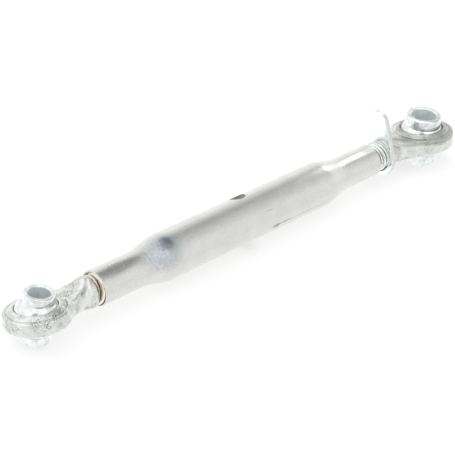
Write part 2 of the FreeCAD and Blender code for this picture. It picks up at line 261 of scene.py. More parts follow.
def ring_section(end):
    """The forged ring without its seat, from the middle of its upper side down to the lower."""
    rim = end["rim"]
    rounding = end["rim_radius"]
    eye = end["eye"]
    foot = eye - rounding - end["rim_flat"]
    crest = mouth_radius(end) + end["crest_land"]
    chord = Vector((foot - crest, rim - end["lip"]))
    out = Vector((-chord.y, chord.x)).normalized()
    sag = LIP_SWELL - math.sqrt(LIP_SWELL ** 2 - chord.length_squared / 4)
    slope = []
    for step in range(9):
        share = step / 8
        spot = Vector((crest, end["lip"])) + chord * share + out * sag * 4 * share * (1 - share)
        slope.append((spot.x, spot.y))
    return ([(0, end["lip"])] + slope
            + arc_points((eye - rounding, rim - rounding), rounding, 90, 0, 8))


def blend(values, where):
    """A smooth curve through (place, value) pairs."""
    places = [place for place, _ in values]
    if where <= places[0]:
        return values[0][1]
    for (start, first), (end, last) in zip(values, values[1:]):
        if where <= end:
            share = (where - start) / (end - start)
            return first + (last - first) * share * share * (3 - 2 * share)
    return values[-1][1]


def oblong_loop(shape, along, width, height, corner):
    """A rounded oblong across the link, as a loop of vertices."""
    side = width / 2 - corner
    top = height / 2 - corner
    loop = []
    for across, up, first in ((side, -top, -90), (side, top, 0), (-side, top, 90), (-side, -top, 180)):
        for y, z in arc_points((across, up), corner, first, first + 90, 6):
            loop.append(shape.verts.new((along, y, z)))
    return loop


def shank_at(end, where):
    """Width, height and corner of the shank at a place along it."""
    stations = end["stations"]
    return [blend([(station[0], station[part]) for station in stations], where) for part in (1, 2, 3)]


def make_shank(end, slices=24):
    shape = bmesh.new()
    first = end["stations"][0][0]
    last = end["stations"][-1][0]
    before = None
    for step in range(slices + 1):
        where = first + (last - first) * step / slices
        loop = oblong_loop(shape, where, *shank_at(end, where))
        edges = [shape.edges.new((loop[here - 1], loop[here])) for here in range(len(loop))]
        if before:
            bmesh.ops.bridge_loops(shape, edges=before + edges)
        else:
            shape.faces.new(loop)
        before = edges
    shape.faces.new(loop)
    bmesh.ops.recalc_face_normals(shape, faces=shape.faces)
    return shape


def make_weld_collar(end):
    radius = end["weld_collar"]
    back = end["stations"][-1][0] - 2 * COLLAR_RISE
    reach = end["reach"]
    section = [(0, back), (radius - 3 * COLLAR_RISE, back), (radius, back + 2 * COLLAR_RISE),
               (radius, reach - WELD_EDGE), (radius - 0.3 * WELD_EDGE, reach - 0.3 * WELD_EDGE),
               (radius - WELD_EDGE, reach), (0, reach)]
    return turn_section(section, X_AXIS, 96, False)


def seat_cutter(end):
    """The spherical seat, with its mouths flared above and below."""
    seat = end["sphere"] + BALL_CLEARANCE
    up = math.degrees(math.asin(end["seat_edge"] / seat))
    above = end["lip"] + 1
    flare = math.tan(math.radians(end["mouth_flare"]))
    wide = mouth_radius(end) + flare
    section = [(0, above), (wide, above)] + arc_points((0, 0), seat, up, 0, 12)[:-1]
    return turn_section(mirrored_down(section), Z_AXIS, 128, False)


def groove_cutter(end, side):
    """The ring cut at the foot of the upper or the lower lip."""
    foot = end["eye"] - end["rim_radius"] - end["rim_flat"]
    middle = foot + 0.3 * end["rim_flat"]
    points = arc_points((middle, side * (end["rim"] + LIP_GROOVE / 5)), LIP_GROOVE, 0, 360, 10)[:-1]
    return turn_section(points, Z_AXIS, 128, True)


def fused(shapes, voxel):
    """Overlapping closed shapes as one skin."""
    whole = bmesh.new()
    for shape in shapes:
        mesh = bpy.data.meshes.new("part_of_forging")
        shape.to_mesh(mesh)
        shape.free()
        whole.from_mesh(mesh)
        bpy.data.meshes.remove(mesh)
    thing = temporary(whole, "forging")
    remesh = thing.modifiers.new("skin", "REMESH")
    remesh.mode = "VOXEL"
    remesh.voxel_size = voxel
    return applied(thing)


def rough_skin(shape, end, seed):
    """The forging's skin: low waves all over, and a finer grain away from the pressed lips."""
    foot = end["eye"] - end["rim_radius"] - end["rim_flat"]
    for vert in shape.verts:
        spot = vert.co
        grain = 1.0
        if math.hypot(spot.x, spot.y) < foot:
            grain = 0.45
        if spot.x > end["stations"][-1][0]:
            grain = 0.3
        wave = noise.noise(spot * 0.16 + seed) * LOW_WAVE
        fine = noise.fractal(spot * 0.75 + seed, 1.0, 2.0, 3) * FINE_GRAIN
        vert.co += vert.normal * (wave * min(grain + 0.2, 1.0) + fine * grain)


def shank_groove(shape, end):
    """The die leaves a groove down each shoulder of the shank, deepest where the shank meets its collar."""
    size = end["eye"] / SMALL_END["eye"]
    for vert in shape.verts:
        along = vert.co.x / size
        if not GROOVE_DEPTH[0][0] < along < GROOVE_DEPTH[-1][0]:
            continue
        half_height = shank_at(end, vert.co.x)[1] / 2
        raised = min(max(abs(vert.co.z) / half_height - 0.45, 0.0) / 0.3, 1.0)
        off = (abs(vert.co.y) / size - blend(GROOVE_LINE, along)) / blend(GROOVE_WIDTH, along)
        vert.co -= vert.normal * (blend(GROOVE_DEPTH, along) * size * raised * math.exp(-off * off))


def make_eye(end, name, body, centre, facing, seed):
    ring = turn_section(mirrored_down(ring_section(end)), Z_AXIS, 128, False)
    shape = fused([ring, make_shank(end), make_weld_collar(end)], FORGING_VOXEL)
    for _ in range(SMOOTHING_PASSES):
        bmesh.ops.smooth_vert(shape, verts=shape.verts, factor=0.5, use_axis_x=True, use_axis_y=True,
                              use_axis_z=True)
    shape.normal_update()
    rough_skin(shape, end, seed)
    shank_groove(shape, end)
    for cutter in (seat_cutter(end), groove_cutter(end, 1), groove_cutter(end, -1)):
        shape = cut_away(shape, cutter)
    place = eye_place(end, centre, facing)
    return finish_piece(shape, name + "_forged", place, body, name)


# ---------------------------------------------------------------------------------------------
# Spindles


def thread_profile():
    """One pitch of the thread, root to root: (along, radius)."""
    return [(0.0, THREAD_ROOT), (0.35, THREAD_ROOT), (0.7, THREAD_ROOT + 0.25),
            (1.5, THREAD_CREST - 0.9), (1.95, THREAD_CREST - 0.2), (2.25, THREAD_CREST),
            (2.83, THREAD_CREST), (3.13, THREAD_CREST - 0.2), (3.58, THREAD_CREST - 0.9),
            (4.38, THREAD_ROOT + 0.25), (4.73, THREAD_ROOT), (THREAD_PITCH, THREAD_ROOT)]


def one_turn(hand, steps):
    """One turn of the helical skin, from a pitch's profile swept round the link's axis."""
    shape = bmesh.new()
    points = [shape.verts.new((along - THREAD_PITCH, 0, radius)) for along, radius in thread_profile()]
    edges = [shape.edges.new(pair) for pair in zip(points, points[1:])]
    bmesh.ops.spin(shape, geom=points + edges, cent=(0, 0, 0), axis=X_AXIS,
                   dvec=X_AXIS * (THREAD_PITCH / steps), angle=hand * math.tau, steps=steps,
                   use_merge=False, use_normal_flip=False, use_duplicate=False)
    return shape


def make_spindle(end, name, body, hand, phase, length, weld, facing):
    """A helical thread, cut square at both ends, turned down at the relief and the tip."""
    shape = one_turn(hand, 96)
    first = shape.verts[:] + shape.edges[:] + shape.faces[:]
    for turn in range(1, math.ceil(length / THREAD_PITCH) + 2):
        copy = bmesh.ops.duplicate(shape, geom=first)["geom"]
        moved = [thing for thing in copy if isinstance(thing, bmesh.types.BMVert)]
        bmesh.ops.translate(shape, verts=moved, vec=X_AXIS * THREAD_PITCH * turn)
    bmesh.ops.remove_doubles(shape, verts=shape.verts, dist=0.004)
    bmesh.ops.rotate(shape, verts=shape.verts, cent=(0, 0, 0),
                     matrix=Matrix.Rotation(math.radians(phase), 3, "X"))
    for place, normal in ((0.0, -X_AXIS), (length, X_AXIS)):
        cut = bmesh.ops.bisect_plane(shape, geom=shape.verts[:] + shape.edges[:] + shape.faces[:],
                                     plane_co=X_AXIS * place, plane_no=normal, clear_outer=True)
        rim = [thing for thing in cut["geom_cut"] if isinstance(thing, bmesh.types.BMEdge)]
        bmesh.ops.contextual_create(shape, geom=rim)
    for vert in shape.verts:
        radius = math.hypot(vert.co.y, vert.co.z)
        from_weld = RELIEF + max(vert.co.x - RELIEF_LENGTH, 0)
        from_tip = THREAD_CREST - TIP_CHAMFER + length - vert.co.x
        allowed = min(from_weld, from_tip)
        if radius > allowed:
            vert.co.yz = Vector((vert.co.y, vert.co.z)) * allowed / radius
    bmesh.ops.recalc_face_normals(shape, faces=shape.faces)
    place = (Matrix.Translation(weld) @ Matrix.Rotation(math.radians(end["twist"]), 4, "X")
             @ Matrix.Rotation(facing, 4, "Z"))
    return finish_piece(shape, name + "_threaded", place, body, name, crease=50)


# ---------------------------------------------------------------------------------------------
# Lock plate


def make_lock_plate():
    """A round base on the thread, drawn in to a rounded tip, with its edges broken."""
    low, high = node_box("lock_handle")
    thickness = high.x - low.x
    shape = bmesh.new()
    for radius, up in ((PLATE_BASE, 0), (HANDLE_TIP, HANDLE_REACH)):
        bmesh.ops.create_circle(shape, cap_ends=False, radius=radius, segments=96,
                                matrix=Matrix.Translation((0, 0, up)) @ Matrix.Rotation(math.pi / 2, 4, "Y"))
    hull = bmesh.ops.convex_hull(shape, input=shape.verts)
    bmesh.ops.delete(shape, geom=hull["geom_interior"], context="VERTS")
    bmesh.ops.dissolve_limit(shape, angle_limit=math.radians(1), verts=shape.verts, edges=shape.edges)
    if len(shape.faces) > 1:
        bmesh.ops.delete(shape, geom=shape.faces[1:], context="FACES_ONLY")
    grown = bmesh.ops.extrude_face_region(shape, geom=shape.faces[:])
    moved = [thing for thing in grown["geom"] if isinstance(thing, bmesh.types.BMVert)]
    bmesh.ops.translate(shape, verts=moved, vec=X_AXIS * thickness)
    bmesh.ops.recalc_face_normals(shape, faces=shape.faces)
    rims = [edge for edge in shape.edges if edge.calc_face_angle(0) > math.radians(60)]
    bmesh.ops.bevel(shape, geom=rims, offset=PLATE_EDGE, offset_type="OFFSET", affect="EDGES", segments=4,
                    profile=0.5, material=-1)
    threaded = THREAD_CREST + 0.08
    wide = threaded + COUNTERSINK + 2
    hole = turn_section([(0, -2), (wide, -2), (threaded, COUNTERSINK), (threaded, thickness - COUNTERSINK),
                         (wide, thickness + 2), (0, thickness + 2)], X_AXIS, 96, False)
    shape = cut_away(shape, hole)
    place = Matrix.Translation((low.x, 0, 0)) @ Matrix.Rotation(math.radians(HANDLE_LEAN), 4, "X")
    return finish_piece(shape, "lock_plate", place, "lock_handle", "lock_handle")


# ---------------------------------------------------------------------------------------------
# Materials

# A colour Mix node's sockets.
SHARE = 0
FIRST = 6
SECOND = 7


def colour(code):
    """An sRGB hex value as the linear colour that a socket takes."""
    channels = [int(code[here:here + 2], 16) / 255 for here in (1, 3, 5)]
    return [c / 12.92 if c <= 0.04045 else ((c + 0.055) / 1.055) ** 2.4 for c in channels] + [1.0]


def per(size):
    """The scale at which a pattern's grains are about a size in millimetres."""
    return 1 / (size * MM)


def add(tree, kind, inputs=(), **settings):
    """Add a node with its settings; an input takes a value, a socket, or a node's first output."""
    made = tree.nodes.new(kind)
    for name, value in settings.items():
        setattr(made, name, value)
    for name, value in dict(inputs).items():
        if isinstance(value, bpy.types.Node):
            value = next(socket for socket in value.outputs if socket.enabled)
        if isinstance(value, bpy.types.NodeSocket):
            tree.links.new(value, made.inputs[name])
        else:
            made.inputs[name].default_value = value
    return made


def new_material(name):
    material = bpy.data.materials.new(name)
    material.use_nodes = True
    material.node_tree.nodes.clear()
    return material


# Where the forging's skin is pitted: middles, and how far from each the pits reach.
PIT_CLUSTERS = [((31.0, -0.5, 7.5), 7.0), ((-1.5, -22.4, 12.3), 8.0), ((-10.0, -25.0, 9.0), 7.0),
                ((8.0, -20.0, 11.0), 7.0), ((464.0, -4.0, 10.0), 9.0), ((456.0, 3.0, 9.0), 8.0),
                ((480.0, -21.0, 9.0), 8.0), ((14.0, 22.0, -9.0), 8.0), ((500.0, 24.0, -10.0), 9.0)]


# Where the shank's shoulder grooves are painted darker as shade: middles, and how far each groove is turned.
GROOVE_SHADES = [((42.5, -9.0, 11.0), 32.0), ((42.5, 12.6, 6.4), -32.0),
                ((42.5, 9.0, -11.0), -32.0), ((42.5, -12.6, -6.4), 32.0)]
GROOVE_SHADE_SIZE = (0.010, 0.0026, 0.006)


def forged_material():
    """Drop-forged steel, blasted and zinc-plated: an even grey grain, with dark clusters of pits, and
    painted shade on the large eye's lips and in the shank's shoulder grooves.
    """
    material = new_material("drop-forged steel, zinc-plated")
    tree = material.node_tree
    where = add(tree, "ShaderNodeTexCoord").outputs["Object"]
    part = add(tree, "ShaderNodeSeparateXYZ", {0: where}).outputs
    patches = add(tree, "ShaderNodeTexNoise", {"Vector": where, "Scale": per(12), "Detail": 3.0})
    lumps = add(tree, "ShaderNodeTexNoise", {"Vector": where, "Scale": per(3), "Detail": 3.0})
    # Blast grit is about 0.5 mm; it is drawn at twice that, so that it shows.
    grit = add(tree, "ShaderNodeTexNoise", {"Vector": where, "Scale": per(1.1), "Detail": 3.0,
                                            "Roughness": 0.65})
    cloudy = add(tree, "ShaderNodeMapRange", {"Value": patches, "From Min": 0.38, "From Max": 0.62})
    grainy = add(tree, "ShaderNodeMapRange", {"Value": grit, "From Min": 0.35, "From Max": 0.65})
    crowded = add(tree, "ShaderNodeMapRange", {"Value": patches, "From Min": 0.52, "From Max": 0.66,
                                               "To Max": 0.8})
    for place, reach in PIT_CLUSTERS:
        centred = add(tree, "ShaderNodeMapping", {
            "Vector": where, "Location": [value * MM for value in place],
            "Scale": (reach * MM, reach * MM, reach * MM)}, vector_type="TEXTURE")
        cluster = add(tree, "ShaderNodeTexGradient", {"Vector": centred}, gradient_type="SPHERICAL")
        cluster = add(tree, "ShaderNodeMapRange", {"Value": cluster.outputs["Fac"], "From Max": 0.5})
        crowded = add(tree, "ShaderNodeMath", {0: crowded, 1: cluster}, operation="MAXIMUM")
    pits = add(tree, "ShaderNodeMapRange", {"Value": grit, "From Min": 0.52, "From Max": 0.38})
    pitted = add(tree, "ShaderNodeMath", {0: pits, 1: crowded}, operation="MULTIPLY")
    tint = add(tree, "ShaderNodeMix", {SHARE: cloudy, FIRST: colour("#F1F2F0"), SECOND: colour("#DCDEDB")},
               data_type="RGBA")
    speck = add(tree, "ShaderNodeMix", {SHARE: grainy, FIRST: colour("#E6E7E5"), SECOND: colour("#FFFFFF")},
                data_type="RGBA")
    tint = add(tree, "ShaderNodeMix", {SHARE: 1.0, FIRST: tint, SECOND: speck}, data_type="RGBA",
               blend_type="MULTIPLY")
    # Painted shade: the large eye's lips, above and below, are painted a darker grey.
    height = add(tree, "ShaderNodeMath", {0: part["Z"]}, operation="ABSOLUTE")
    on_lip = add(tree, "ShaderNodeMapRange", {"Value": height, "From Min": 5.5 * MM, "From Max": 9.0 * MM,
                                              "To Max": 0.8})
    large_end = add(tree, "ShaderNodeMapRange", {"Value": part["X"], "From Min": 0.43, "From Max": 0.46})
    lip_painted_shade = add(tree, "ShaderNodeMath", {0: on_lip, 1: large_end}, operation="MULTIPLY")
    tint = add(tree, "ShaderNodeMix", {SHARE: lip_painted_shade, FIRST: tint, SECOND: colour("#A9AAA6")},
               data_type="RGBA")
    # Painted shade: each shoulder groove is painted a darker grey along its length.
    for place, slope in GROOVE_SHADES:
        centred = add(tree, "ShaderNodeMapping", {
            "Vector": where, "Location": [value * MM for value in place],
            "Rotation": (0.0, 0.0, math.radians(slope)),
            "Scale": GROOVE_SHADE_SIZE}, vector_type="TEXTURE")
        groove_shade = add(tree, "ShaderNodeTexGradient", {"Vector": centred}, gradient_type="SPHERICAL")
        groove_shade = add(tree, "ShaderNodeMapRange", {"Value": groove_shade.outputs["Fac"], "From Max": 0.7,
                                                   "To Max": 0.65})
        tint = add(tree, "ShaderNodeMix", {SHARE: groove_shade, FIRST: tint, SECOND: colour("#7D8084")},
                   data_type="RGBA")
    tint = add(tree, "ShaderNodeMix", {SHARE: pitted, FIRST: tint, SECOND: colour("#6A6C6B")},
               data_type="RGBA")
    roughness = add(tree, "ShaderNodeMapRange", {"Value": lumps, "From Min": 0.3, "From Max": 0.7,
                                                 "To Min": 0.28, "To Max": 0.42})
    rolling = add(tree, "ShaderNodeBump", {"Strength": 0.5, "Distance": 0.25 * MM, "Height": lumps})
    normal = add(tree, "ShaderNodeBump", {"Strength": 0.4, "Distance": 0.14 * MM, "Height": grit,
                                          "Normal": rolling})
    shader = add(tree, "ShaderNodeBsdfPrincipled", {"Base Color": tint, "Metallic": 1.0,
                                                    "Roughness": roughness, "Normal": normal})
    add(tree, "ShaderNodeOutputMaterial", {"Surface": shader})
    return material


def turned_material():
    """Turned and burnished steel under bright zinc: almost a mirror, with faint clouds in the plating."""
    material = new_material("turned steel, bright zinc plate")
    tree = material.node_tree
    where = add(tree, "ShaderNodeTexCoord").outputs["Object"]
    clouds = add(tree, "ShaderNodeTexNoise", {"Vector": where, "Scale": per(6), "Detail": 4.0})
    grain = add(tree, "ShaderNodeTexNoise", {"Vector": where, "Scale": per(0.7), "Detail": 2.0})
    cloudy = add(tree, "ShaderNodeMapRange", {"Value": clouds, "From Min": 0.4, "From Max": 0.65})
    tint = add(tree, "ShaderNodeMix", {SHARE: cloudy, FIRST: colour("#EDEFEE"), SECOND: colour("#D2D7D8")},
               data_type="RGBA")
    roughness = add(tree, "ShaderNodeMapRange", {"Value": clouds, "From Min": 0.35, "From Max": 0.65,
                                                 "To Min": 0.09, "To Max": 0.18})
    normal = add(tree, "ShaderNodeBump", {"Strength": 0.2, "Distance": 0.02 * MM, "Height": grain})
    shader = add(tree, "ShaderNodeBsdfPrincipled", {"Base Color": tint, "Metallic": 1.0,
                                                    "Roughness": roughness, "Normal": normal})
    add(tree, "ShaderNodeOutputMaterial", {"Surface": shader})
    return material


def bore_material():
    """The reamed bore under passivated zinc: satin, ringed by the reamer, with a green-grey cast."""
    material = new_material("reamed steel, passivated zinc")
    tree = material.node_tree
    where = add(tree, "ShaderNodeTexCoord").outputs["Object"]
    clouds = add(tree, "ShaderNodeTexNoise", {"Vector": where, "Scale": per(7), "Detail": 3.0})
    cloudy = add(tree, "ShaderNodeMapRange", {"Value": clouds, "From Min": 0.35, "From Max": 0.7})
    tint = add(tree, "ShaderNodeMix", {SHARE: cloudy, FIRST: colour("#F1F4F5"), SECOND: colour("#DFE6E6")},
               data_type="RGBA")
    # The reamer's rings are drawn about 0.8 mm apart along the bore.
    flattened = add(tree, "ShaderNodeMapping", {"Vector": where, "Scale": (0.07, 0.07, 1.0)})
    rings = add(tree, "ShaderNodeTexNoise", {"Vector": flattened, "Scale": per(0.8), "Detail": 2.0})
    roughness = add(tree, "ShaderNodeMapRange", {"Value": clouds, "From Min": 0.3, "From Max": 0.7,
                                                 "To Min": 0.26, "To Max": 0.36})
    normal = add(tree, "ShaderNodeBump", {"Strength": 0.3, "Distance": 0.03 * MM, "Height": rings})
    shader = add(tree, "ShaderNodeBsdfPrincipled", {"Base Color": tint, "Metallic": 0.45,
                                                    "Roughness": roughness, "Normal": normal})
    add(tree, "ShaderNodeOutputMaterial", {"Surface": shader})
    return material


# Marks on the tube: place along it, degrees round from its top towards the near side, half length, half
# angle, strength and colour. The swaging leaves ragged blue-grey blooms, and handling leaves scuffs.
BLOOMS = [
    (127.0, 34.0, 26.0, 64.0, 0.75, "#A3ABB2"),
    (134.0, 21.0, 10.0, 26.0, 0.70, "#757A86"),
    (80.0, 19.0, 32.0, 28.0, 0.55, "#85877F"),
]
SCUFFS = [
    (262.0, 106.0, 7.0, 9.0, 0.8, "#8F8A80"),
    (272.0, 104.0, 13.0, 4.0, 0.7, "#8C8880"),
    (305.0, 105.5, 42.0, 2.4, 0.55, "#A3A097"),
    (254.0, 55.0, 7.0, 2.6, 0.45, "#A5A5A0"),
    (193.0, 118.0, 9.0, 3.0, 0.35, "#A9A79F"),
]
# How far the blooms' outlines wander, in metres along the tube and radians round it.
RAGGED = (0.010, 0.45, 0.0)

# Between the necks the tube is hollow from this radius inwards.
HOLLOW_FROM = 17.3
HOLLOW_TO = 21.5
TUBE_MIDDLE = 238.0
HOLLOW_HALF = 80.0


def drawn_material():
    """Drawn steel tube under satin zinc: faint lines along it, a bloom where it was swaged, and scuffs."""
    material = new_material("drawn steel tube, satin zinc plate")
    tree = material.node_tree
    where = add(tree, "ShaderNodeTexCoord").outputs["Object"]
    part = add(tree, "ShaderNodeSeparateXYZ", {0: where}).outputs
    clouds = add(tree, "ShaderNodeTexNoise", {"Vector": where, "Scale": per(16), "Detail": 4.0})
    mottle = add(tree, "ShaderNodeTexNoise", {"Vector": where, "Scale": per(2.4), "Detail": 4.0,
                                              "Roughness": 0.65})
    grain = add(tree, "ShaderNodeTexNoise", {"Vector": where, "Scale": per(0.8), "Detail": 2.0})
    # The drawing lines are fine scratches; they are drawn about 0.8 mm apart, so that they show.
    lengthened = add(tree, "ShaderNodeMapping", {"Vector": where, "Scale": (0.08, 1.0, 1.0)})
    lines = add(tree, "ShaderNodeTexNoise", {"Vector": lengthened, "Scale": per(0.8), "Detail": 3.0})
    cloudy = add(tree, "ShaderNodeMapRange", {"Value": clouds, "From Min": 0.3, "From Max": 0.7})
    tint = add(tree, "ShaderNodeMix", {SHARE: cloudy, FIRST: colour("#E7E7E4"), SECOND: colour("#DEDFDC")},
               data_type="RGBA")
    speck = add(tree, "ShaderNodeMapRange", {"Value": grain, "From Min": 0.3, "From Max": 0.7})
    grainy = add(tree, "ShaderNodeMix", {SHARE: speck, FIRST: colour("#EAEAEA"), SECOND: colour("#FFFFFF")},
                 data_type="RGBA")
    tint = add(tree, "ShaderNodeMix", {SHARE: 1.0, FIRST: tint, SECOND: grainy}, data_type="RGBA",
               blend_type="MULTIPLY")
    turn = add(tree, "ShaderNodeMath", {0: part["Y"], 1: part["Z"]}, operation="ARCTAN2")
    unrolled = add(tree, "ShaderNodeCombineXYZ", {"X": part["X"], "Y": turn})
    ragged = add(tree, "ShaderNodeVectorMath", {0: mottle.outputs["Color"], 1: RAGGED, 2: unrolled},
                 operation="MULTIPLY_ADD")
    broken = add(tree, "ShaderNodeMapRange", {"Value": mottle, "From Min": 0.30, "From Max": 0.55,
                                              "To Min": 0.5})
    marks = ([(ragged, RAGGED, *bloom) for bloom in BLOOMS]
             + [(unrolled, (0.0, 0.0), *scuff) for scuff in SCUFFS])
    for surface, wander, along, round_to, length, angle, strength, code in marks:
        middle = (along * MM + wander[0] / 2, wander[1] / 2 - math.radians(round_to), 0.0)
        centred = add(tree, "ShaderNodeMapping", {
            "Vector": surface, "Location": middle, "Scale": (length * MM, math.radians(angle), 1.0)},
            vector_type="TEXTURE")
        spot = add(tree, "ShaderNodeTexGradient", {"Vector": centred}, gradient_type="SPHERICAL")
        shade = add(tree, "ShaderNodeMapRange", {"Value": spot.outputs["Fac"], "From Min": 0.0,
                                                 "From Max": 0.6, "To Max": strength},
                    interpolation_type="SMOOTHSTEP")
        shade = add(tree, "ShaderNodeMath", {0: shade, 1: broken}, operation="MULTIPLY")
        tint = add(tree, "ShaderNodeMix", {SHARE: shade, FIRST: tint, SECOND: colour(code)},
                   data_type="RGBA")
    # Inside the tube the zinc is thin and chalky, so light spreads in it.
    off_axis = add(tree, "ShaderNodeVectorMath", {0: where, 1: (0.0, 1.0, 1.0)}, operation="MULTIPLY")
    radius = add(tree, "ShaderNodeVectorMath", {0: off_axis}, operation="LENGTH")
    metallic = add(tree, "ShaderNodeMapRange", {"Value": radius, "From Min": HOLLOW_FROM * MM,
                                                "From Max": HOLLOW_TO * MM})
    necks = add(tree, "ShaderNodeMath", {0: part["X"], 1: TUBE_MIDDLE * MM},
                operation="SUBTRACT")
    necks = add(tree, "ShaderNodeMath", {0: necks}, operation="ABSOLUTE")
    necks = add(tree, "ShaderNodeMapRange", {"Value": necks, "From Min": HOLLOW_HALF * MM,
                                             "From Max": (HOLLOW_HALF + 10) * MM})
    metallic = add(tree, "ShaderNodeMath", {0: metallic, 1: necks}, operation="MAXIMUM")
    burnished = add(tree, "ShaderNodeMapRange", {"Value": part["X"], "From Min": 0.352, "From Max": 0.376,
                                                 "To Min": 0.30, "To Max": 0.27})
    uneven = add(tree, "ShaderNodeMapRange", {"Value": lines, "From Min": 0.3, "From Max": 0.7,
                                              "To Min": -0.04, "To Max": 0.04})
    roughness = add(tree, "ShaderNodeMath", {0: burnished, 1: uneven}, operation="ADD")
    drawn_lines = add(tree, "ShaderNodeBump", {"Strength": 0.3, "Distance": 0.03 * MM, "Height": lines})
    normal = add(tree, "ShaderNodeBump", {"Strength": 0.25, "Distance": 0.03 * MM, "Height": grain,
                                          "Normal": drawn_lines})
    shader = add(tree, "ShaderNodeBsdfPrincipled", {"Base Color": tint, "Metallic": metallic,
                                                    "Roughness": roughness, "Normal": normal})
    add(tree, "ShaderNodeOutputMaterial", {"Surface": shader})
    return material


def thread_material():
    """Cut thread, bright on its crests and painted darker in its roots as shade: straw at the small end,
    grey at the large.
    """
    material = new_material("cut thread, passivated zinc")
    tree = material.node_tree
    where = add(tree, "ShaderNodeTexCoord").outputs["Object"]
    part = add(tree, "ShaderNodeSeparateXYZ", {0: where}).outputs
    off_axis = add(tree, "ShaderNodeVectorMath", {0: where, 1: (0.0, 1.0, 1.0)}, operation="MULTIPLY")
    radius = add(tree, "ShaderNodeVectorMath", {0: off_axis}, operation="LENGTH")
    stains = add(tree, "ShaderNodeTexNoise", {"Vector": where, "Scale": per(2.2), "Detail": 4.0})
    wobble = add(tree, "ShaderNodeMapRange", {"Value": stains, "From Min": 0.3, "From Max": 0.7,
                                              "To Min": -0.5 * MM, "To Max": 0.5 * MM})
    uneven = add(tree, "ShaderNodeMath", {0: radius, 1: wobble}, operation="ADD")
    # How deep a point lies in the thread: it sets the painted shade in the roots, and the roots' roughness.
    depth = add(tree, "ShaderNodeMapRange", {"Value": uneven, "From Min": (THREAD_CREST - 1.0) * MM,
                                             "From Max": THREAD_ROOT * MM})
    grey = add(tree, "ShaderNodeMapRange", {"Value": part["X"], "From Min": 0.2, "From Max": 0.3})
    crest = add(tree, "ShaderNodeMix", {SHARE: grey, FIRST: colour("#FBF5E4"), SECOND: colour("#F1F4F0")},
                data_type="RGBA")
    # The root colour is painted shade: the thread is drawn darker down in its roots.
    root = add(tree, "ShaderNodeMix", {SHARE: grey, FIRST: colour("#6B634A"), SECOND: colour("#63645F")},
               data_type="RGBA")
    dull = add(tree, "ShaderNodeMix", {SHARE: grey, FIRST: colour("#B7A792"), SECOND: colour("#BFC2BE")},
               data_type="RGBA")
    stained = add(tree, "ShaderNodeMapRange", {"Value": stains, "From Min": 0.45, "From Max": 0.65,
                                               "To Max": 0.6})
    tint = add(tree, "ShaderNodeMix", {SHARE: stained, FIRST: crest, SECOND: dull}, data_type="RGBA")
    tint = add(tree, "ShaderNodeMix", {SHARE: depth, FIRST: tint, SECOND: root}, data_type="RGBA")
    roughness = add(tree, "ShaderNodeMapRange", {"Value": depth, "To Min": 0.2, "To Max": 0.5})
    normal = add(tree, "ShaderNodeBump", {"Strength": 0.3, "Distance": 0.03 * MM, "Height": stains})
    shader = add(tree, "ShaderNodeBsdfPrincipled", {"Base Color": tint, "Metallic": 1.0,
                                                    "Roughness": roughness, "Normal": normal})
    add(tree, "ShaderNodeOutputMaterial", {"Surface": shader})
    return material


def pressed_material():
    """Cold-rolled plate under bright bluish zinc: smooth enough to mirror the thread in front of it."""
    material = new_material("pressed steel plate, bluish zinc")
    tree = material.node_tree
    where = add(tree, "ShaderNodeTexCoord").outputs["Object"]
    clouds = add(tree, "ShaderNodeTexNoise", {"Vector": where, "Scale": per(8), "Detail": 4.0})
    grain = add(tree, "ShaderNodeTexNoise", {"Vector": where, "Scale": per(0.8), "Detail": 3.0})
    cloudy = add(tree, "ShaderNodeMapRange", {"Value": clouds, "From Min": 0.35, "From Max": 0.7})
    tint = add(tree, "ShaderNodeMix", {SHARE: cloudy, FIRST: colour("#F8FAFC"), SECOND: colour("#EAEFF4")},
               data_type="RGBA")
    roughness = add(tree, "ShaderNodeMapRange", {"Value": clouds, "From Min": 0.3, "From Max": 0.7,
                                                 "To Min": 0.15, "To Max": 0.24})
    normal = add(tree, "ShaderNodeBump", {"Strength": 0.2, "Distance": 0.03 * MM, "Height": grain})
    shader = add(tree, "ShaderNodeBsdfPrincipled", {"Base Color": tint, "Metallic": 1.0,
                                                    "Roughness": roughness, "Normal": normal})
    add(tree, "ShaderNodeOutputMaterial", {"Surface": shader})
    return material


def sheared_material():
    """The plate's sheared edge: greyer and duller than its faces, and torn across its thickness."""
    material = new_material("sheared steel edge, zinc-plated")
    tree = material.node_tree
    where = add(tree, "ShaderNodeTexCoord").outputs["Object"]
    clouds = add(tree, "ShaderNodeTexNoise", {"Vector": where, "Scale": per(4), "Detail": 4.0})
    across = add(tree, "ShaderNodeMapping", {"Vector": where, "Scale": (0.2, 1.0, 1.0)})
    tears = add(tree, "ShaderNodeTexNoise", {"Vector": across, "Scale": per(0.9), "Detail": 3.0})
    cloudy = add(tree, "ShaderNodeMapRange", {"Value": clouds, "From Min": 0.35, "From Max": 0.65})
    tint = add(tree, "ShaderNodeMix", {SHARE: cloudy, FIRST: colour("#E2E4E2"), SECOND: colour("#D0D3D1")},
               data_type="RGBA")
    roughness = add(tree, "ShaderNodeMapRange", {"Value": tears, "From Min": 0.3, "From Max": 0.7,
                                                 "To Min": 0.3, "To Max": 0.45})
    normal = add(tree, "ShaderNodeBump", {"Strength": 0.4, "Distance": 0.06 * MM, "Height": tears})
    shader = add(tree, "ShaderNodeBsdfPrincipled", {"Base Color": tint, "Metallic": 1.0,
                                                    "Roughness": roughness, "Normal": normal})
    add(tree, "ShaderNodeOutputMaterial", {"Surface": shader})
    return material


def dress(thing, *materials):
    thing.data.materials.clear()
    for material in materials:
        thing.data.materials.append(material)


def dress_ball(ball, end, centre):
    """Bright outside, and reamed within the bore."""
    dress(ball, turned, reamed)
    axis = Matrix.Rotation(math.radians(end["lean"]), 3, "Y") @ Z_AXIS
    for face in ball.data.polygons:
        off = Vector(face.center) / MM - centre
        inside = (off - axis * off.dot(axis)).length < end["bore"] + 0.1
        face.material_index = 1 if inside else 0


